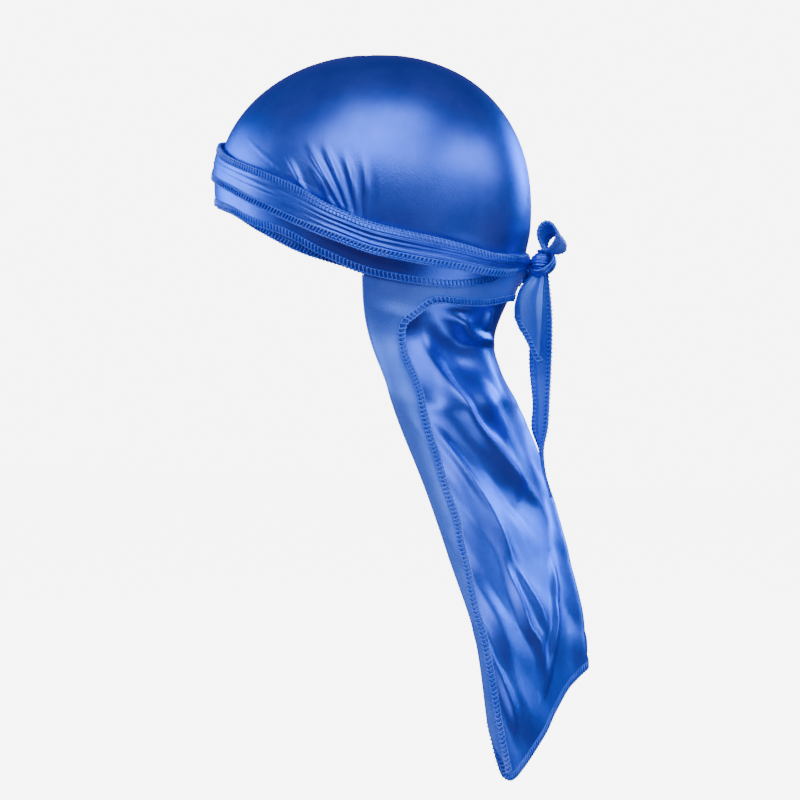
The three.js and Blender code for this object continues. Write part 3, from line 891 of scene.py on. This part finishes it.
def tube(points, normals, radius, sides=5):
    along = unit(np.gradient(points, axis=0))
    up = unit(normals - along * np.sum(normals * along, -1, keepdims=True))
    aside = np.cross(along, up)
    angle = 2 * np.pi * np.arange(sides) / sides
    ring = up[:, None] * np.cos(angle)[:, None] + aside[:, None] * np.sin(angle)[:, None]
    places = (points[:, None] + radius * ring).reshape(-1, 3)
    i = np.arange(len(points) - 1)[:, None] * sides
    j = np.arange(sides)[None, :]
    k = (j + 1) % sides
    quads = np.stack([i + j, i + k, i + sides + k, i + sides + j], -1).reshape(-1, 4).tolist()
    last = (len(points) - 1) * sides
    ends = [list(range(sides))[::-1], list(range(last, last + sides))]
    return places, quads + ends


def along_edge(edge, values, places):
    step = np.linalg.norm(np.diff(edge, axis=0), axis=1)
    length = np.concatenate([[0.0], np.cumsum(step)])
    return np.stack([np.interp(places, length, values[:, n]) for n in range(3)], -1)


def pattern(edge, inward, normal, shape, count, pitch):
    phase = np.array([row[0] for row in shape])
    places = ((np.arange(count)[:, None] + phase[None, :]) * pitch).ravel()
    inside = np.tile([row[1] for row in shape], count)[:, None]
    height = np.tile([row[2] for row in shape], count)[:, None]
    up = unit(along_edge(edge, normal, places))
    base = along_edge(edge, edge, places) + inside * unit(along_edge(edge, inward, places))
    return base + height * up, up


# %% Overlock of an edge


def overlock(name, edges, width=SEAM_WIDTH):
    # share of one stitch, distance inside the edge, height over the cloth
    tooth = [(0.0, -0.35, -0.7), (0.08, -0.15, 0.25), (0.42, 0.45 * width, 0.36)]
    tooth += [(0.78, width, 0.25), (0.86, width, -0.5), (0.95, 0.4 * width, -0.7)]
    chain = [(0.0, -0.12, 0.30), (0.25, 0.16, 0.38), (0.5, 0.30, 0.30), (0.75, 0.10, 0.38)]
    needle = [(0.05, width, -0.35), (0.2, width, 0.12), (0.7, width, 0.12), (0.9, width, -0.35)]
    places, faces, start = [], [], 0
    for edge, inward, normal in edges:
        length = np.linalg.norm(np.diff(edge, axis=0), axis=1).sum()
        count = max(2, int(length / PITCH))
        for shape, radius in ((tooth, THREAD), (chain, CHAIN_THREAD), (needle, NEEDLE_THREAD)):
            line, up = pattern(edge, inward, normal, shape, count, length / count)
            made, quads = tube(line, up, radius)
            places.append(made)
            faces += [[start + corner for corner in quad] for quad in quads]
            start += len(made)
    mesh = bpy.data.meshes.new(name)
    mesh.from_pydata((np.concatenate(places) * MM).tolist(), [], faces)
    piece = add_object(name, mesh)
    select_only(piece)
    bpy.ops.object.shade_smooth()
    print(name, "has", len(faces), "faces")
    return piece


# %% Edges of the sheets
FLAP_SEAM_START = 0.0665
ROWS_IN_KNOT = 14
SIDES = ("left", "right")


def turned_to(side, grid):
    if side == "bottom":
        return grid[::-1]
    return (grid if side == "left" else grid[:, ::-1]).transpose(1, 0, 2)


def side_of(points, side, rise=0.0):
    chosen, up = turned_to(side, points), turned_to(side, grid_normals(points))[1]
    edge, inward = chosen[0] + up * rise, np.cross(up, np.gradient(chosen[0], axis=0))
    return edge, inward * np.sign(np.sum(inward * (chosen[2] - chosen[0]))), up


def flap_edge():
    rows = cape_rows()
    first = np.searchsorted(rows[:, 0], FLAP_SEAM_START)
    rows, grid = rows[first:], cape_grid[first:]
    edge = grid[:, 0]
    up = cape_normal(read(FLAP_REACH, 1, rows), np.maximum(rows, 0.0))[:, 0]
    inward = np.cross(up, np.gradient(edge, axis=0))
    return edge + up, inward * np.sign(np.sum(inward * (grid[:, 2] - edge))), up


body_grid = cape_grid[TUCK_ROWS:, MARGIN_COLUMNS:]
left_seam, right_seam = left_points[:-ROWS_IN_KNOT], right_points[:-ROWS_IN_KNOT]
stitch_pieces = [
    overlock("crown_hem_stitches", [side_of(crown_grid, "bottom")]),
    overlock("strap_left_stitches", [side_of(left_seam, side) for side in SIDES]),
    overlock("strap_right_stitches", [side_of(right_seam, side) for side in SIDES]),
    overlock("flap_stitches", [flap_edge()]),
    overlock("cape_hem_stitches", [side_of(body_grid, side, 1.0) for side in ("bottom", "right")]),
    overlock("tail_short_stitches", [side_of(short_grid, "bottom", 0.9)], NARROW_SEAM),
    overlock("tail_long_stitches", [side_of(long_grid, side, 0.9) for side in SIDES], TAIL_SEAM),
    overlock("loop_stitches", [side_of(loop_grid, side, 0.9) for side in SIDES], LOOP_SEAM),
]

# %% [markdown]
# ## Materials
# The satin of a durag is a knitted polyester with a bright, smooth face. Light slides over it
# in soft bands that follow the folds, and the shade between them falls to deep navy. The
# cape hangs free and shows a sharper gloss. The back of the cloth is duller: it shows on the
# flap, the loop and the tails, where the cloth is turned over. The sewing thread is matter
# still and a little lighter.

# %% Colour and node helpers


def linear(code):
    # an sRGB hex code, as picked on a screen, becomes the linear colour that Blender reckons with
    parts = [int(code[n : n + 2], 16) / 255 for n in (1, 3, 5)]
    return tuple(p / 12.92 if p <= 0.04045 else ((p + 0.055) / 1.055) ** 2.4 for p in parts) + (1,)


def add_node(owner, kind, **values):
    node = owner.node_tree.nodes.new(kind)
    for name, value in values.items():
        if name in node.inputs:
            node.inputs[name].default_value = value
        else:
            setattr(node, name, value)
    return node


# %% Cloth and thread
CLOUD_SCALE = 45.0
WEAVE_DEPTH = 0.25
SHEEN_ROUGHNESS = 0.35
SPECULAR_LEVEL = 0.3


def cloth_material(name, dark, light, metallic, roughness, grain, sheen, grain_size=0.9):
    material = bpy.data.materials.new(name)
    material.use_nodes = True
    links = material.node_tree.links
    shader = material.node_tree.nodes["Principled BSDF"]
    # filaments of polyester mirror like metal and tint their own light
    shader.inputs["Metallic"].default_value = metallic
    shader.inputs["Roughness"].default_value = roughness
    # loose fibres on the face glow softly where the cloth turns away
    shader.inputs["Sheen Weight"].default_value = sheen
    shader.inputs["Sheen Roughness"].default_value = SHEEN_ROUGHNESS
    shader.inputs["Sheen Tint"].default_value = linear("#5A86FF")
    shader.inputs["Specular IOR Level"].default_value = SPECULAR_LEVEL
    shader.inputs["Specular Tint"].default_value = linear("#8FB0FF")
    place = add_node(material, "ShaderNodeTexCoord")
    # dye and tension vary a little over a few centimetres
    cloud = add_node(material, "ShaderNodeTexNoise", Scale=CLOUD_SCALE, Detail=3.0)
    ramp = add_node(material, "ShaderNodeMapRange", **{"From Min": 0.35, "From Max": 0.65})
    blend = add_node(material, "ShaderNodeMix", data_type="RGBA")
    blend.inputs[6].default_value = linear(dark)
    blend.inputs[7].default_value = linear(light)
    links.new(place.outputs["Object"], cloud.inputs["Vector"])
    links.new(cloud.outputs["Fac"], ramp.inputs["Value"])
    links.new(ramp.outputs["Result"], blend.inputs[0])
    links.new(blend.outputs[2], shader.inputs["Base Color"])
    # the fine knit breaks up the highlights
    weave = add_node(material, "ShaderNodeTexNoise", Scale=1.0 / (grain_size * MM), Detail=2.0)
    bump = add_node(material, "ShaderNodeBump", Strength=grain, Distance=WEAVE_DEPTH * MM)
    links.new(place.outputs["Object"], weave.inputs["Vector"])
    links.new(weave.outputs["Fac"], bump.inputs["Height"])
    links.new(bump.outputs["Normal"], shader.inputs["Normal"])
    return material


satin = cloth_material(
    "satin knit", "#3458E6", "#3E64F4", metallic=0.88, roughness=0.35, grain=0.5, sheen=0.1
)
glossy = cloth_material(
    "glossy satin", "#3256E2", "#3A60F0", metallic=0.88, roughness=0.33, grain=0.35, sheen=0.08
)
thread = cloth_material(
    "sewing thread", "#3C6EF6", "#5684FF", metallic=0.4, roughness=0.5, grain=0.2, sheen=0.2,
    grain_size=0.5,
)
back = cloth_material(
    "matte back of satin", "#3C6AEE", "#4A7CFA",
    metallic=0.42, roughness=0.5, grain=0.6, sheen=0.2,
)

for piece in (crown, strap_left, strap_right, knot, knot_band):
    piece.data.materials.append(satin)
for piece in (bow_loop, tail_short, tail_long):
    piece.data.materials.append(back)
for material in (glossy, back):
    cape.data.materials.append(material)
for piece in stitch_pieces:
    piece.data.materials.append(thread)
print("materials:", [m.name for m in (satin, glossy, back, thread)])

# %% [markdown]
# ## Studio
# Satin shows its lamps, so each soft box is placed where its reflection falls on one part of
# the cloth. The one before the brow fills the face side, two high ones draw the broad lights
# on the dome, the one over the shoulder lights the folded flap, and three small ones behind
# and below pick out the folds of the cape. The camera sees a pale backdrop, while the cloth is
# lit by a much dimmer, faintly pink surround, so its folds keep their dark sides.

# %% Soft boxes
DOME = Vector((0.0, 0.0, -0.03))
MIDDLE = Vector((0.0, 0.02, -0.16))
HEM = Vector((0.02, 0.105, -0.385))
SOFT_BOXES = [
    # name, azimuth, elevation, distance, size, power, target, spread in degrees
    ("before the brow", 356.0, 4.0, 1.7, (1.3, 1.2), 27.0, MIDDLE, 180.0),
    ("high at the side", 92.0, 31.0, 1.8, (2.6, 0.5), 8.6, DOME, 100.0),
    ("high behind", 172.0, 27.0, 1.8, (2.2, 0.5), 7.8, MIDDLE, 120.0),
    ("over the shoulder", 108.0, 56.0, 1.8, (1.6, 0.6), 12.0, MIDDLE, 180.0),
    ("back right", 252.0, 10.0, 1.7, (0.8, 0.5), 0.9, DOME, 40.0),
    ("low behind", 238.0, 6.0, 0.9, (0.75, 0.4), 0.065, HEM, 14.0),
    ("under the nape", 160.0, -30.0, 0.8, (0.5, 0.3), 1.3, MIDDLE, 180.0),
]

for name, azimuth, elevation, distance, size, power, target, spread in SOFT_BOXES:
    lamp = bpy.data.lights.new(name, "AREA")
    lamp.shape = "RECTANGLE"
    lamp.size, lamp.size_y = size
    lamp.energy = power
    lamp.spread = math.radians(spread)
    aim(add_object(name, lamp), target + direction(azimuth, elevation) * distance, target)
print("soft boxes:", [row[0] for row in SOFT_BOXES])

# %% Surround
world = bpy.data.worlds.new("studio")
bpy.context.scene.world = world
world.use_nodes = True
world.node_tree.nodes.clear()
WHITE = linear("#FFFFFF")
seen = add_node(world, "ShaderNodeBackground", Color=WHITE, Strength=7.0)
lit = add_node(world, "ShaderNodeBackground", Color=linear("#FF96B0"), Strength=0.33)
way = add_node(world, "ShaderNodeLightPath")
choose = add_node(world, "ShaderNodeMixShader")
out = add_node(world, "ShaderNodeOutputWorld")
world_links = world.node_tree.links
world_links.new(way.outputs["Is Camera Ray"], choose.inputs[0])
world_links.new(lit.outputs[0], choose.inputs[1])
world_links.new(seen.outputs[0], choose.inputs[2])
world_links.new(choose.outputs[0], out.inputs["Surface"])
print("the camera sees", seen.inputs["Strength"].default_value, "and the cloth",
      round(lit.inputs["Strength"].default_value, 2))

# %% Floor
FLOOR_HEIGHT = -0.62
FLOOR_SIZE = 8.0
bpy.ops.mesh.primitive_plane_add(size=FLOOR_SIZE, location=(0.0, 0.0, FLOOR_HEIGHT))
floor = bpy.context.object
floor.name = "floor"
floor.visible_diffuse = False
floor.visible_glossy = False
paper = bpy.data.materials.new("pale paper")
paper.use_nodes = True
paper_shader = paper.node_tree.nodes["Principled BSDF"]
paper_shader.inputs["Base Color"].default_value = linear("#F4F4F4")
paper_shader.inputs["Roughness"].default_value = 0.9
paper_shader.inputs["Emission Color"].default_value = WHITE
paper_shader.inputs["Emission Strength"].default_value = 6.8
floor.data.materials.append(paper)
print("floor at", FLOOR_HEIGHT, "m")

# %% [markdown]
# ## Pieces on the imported model
# Every piece rides on the root body of the imported model. Each cloth piece hides the solid that
# it covers; the band over the knot and the stitches come on top of it.

# %% Bodies, sheets and sizes


def sheet_area(points):
    down = np.diff(points, axis=0)[:, :-1]
    across = np.diff(points, axis=1)[:-1]
    return float(np.linalg.norm(np.cross(down, across), axis=-1).sum()) * MM * MM


for piece, node in (
    (crown, "crown"),
    (strap_left, "strap_left"),
    (strap_right, "strap_right"),
    (cape, "cape"),
    (knot, "knot"),
    (bow_loop, "bow_loop"),
    (tail_short, "tail_short"),
    (tail_long, "tail_long"),
):
    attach(piece, "root")
    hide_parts(node)
for piece in (knot_band, *stitch_pieces):
    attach(piece, "root")

for name, points in (
    ("crown", crown_grid),
    ("left strap", left_points),
    ("right strap", right_points),
    ("cape", cape_grid),
    ("loop", loop_grid),
    ("short tail", short_grid),
    ("long tail", long_grid),
    ("band", band_grid),
):
    print(name, "has", round(sheet_area(points), 4), "square metres of cloth")
